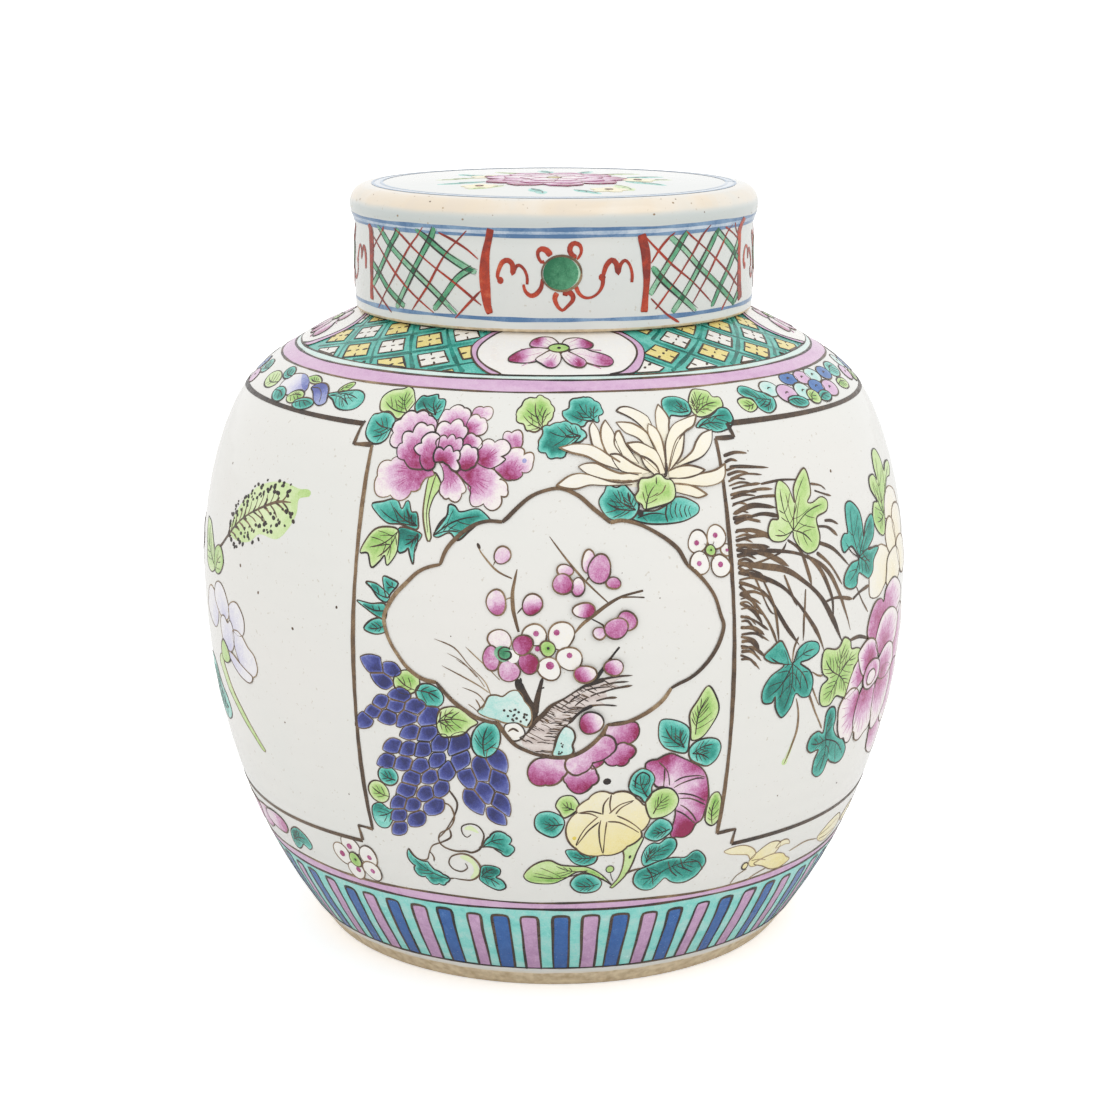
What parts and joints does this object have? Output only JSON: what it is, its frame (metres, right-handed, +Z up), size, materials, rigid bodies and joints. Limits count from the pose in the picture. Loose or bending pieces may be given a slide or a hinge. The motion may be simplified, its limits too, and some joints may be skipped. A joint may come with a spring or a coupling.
{
  "type": "ginger jar",
  "caption": "Round-shouldered porcelain jar with a short hidden neck and a flat-topped drop-on cap lid, painted with flowers in enamels.",
  "frame": {"origin": "centre of the foot, on the surface the jar stands on", "axes": "+Z up along the axis of the jar and lid, -Y towards the front medallion, +X to the viewer's right"},
  "size_m": [0.2068, 0.2068, 0.22],
  "materials": {
    "jar_glaze": "gloss",
    "lid_glaze": "gloss",
    "bare_clay": "matte",
    "turquoise_enamel": "gloss",
    "green_enamel": "gloss",
    "lime_enamel": "gloss",
    "rose_enamel": "gloss",
    "mauve_enamel": "gloss",
    "blue_enamel": "gloss",
    "yellow_enamel": "gloss",
    "white_enamel": "gloss",
    "iron_red": "satin",
    "cobalt_line": "gloss",
    "outline": "satin"
  },
  "bodies": {
    "jar": {"jar_body": "jar_glaze"},
    "lid": {"lid": "lid_glaze"}
  },
  "joints": [
    {"name": "lid_lift", "type": "slide", "parent": "jar", "child": "lid", "axis": [0, 0, 1], "range_m": [0, 0.06]}
  ]
}
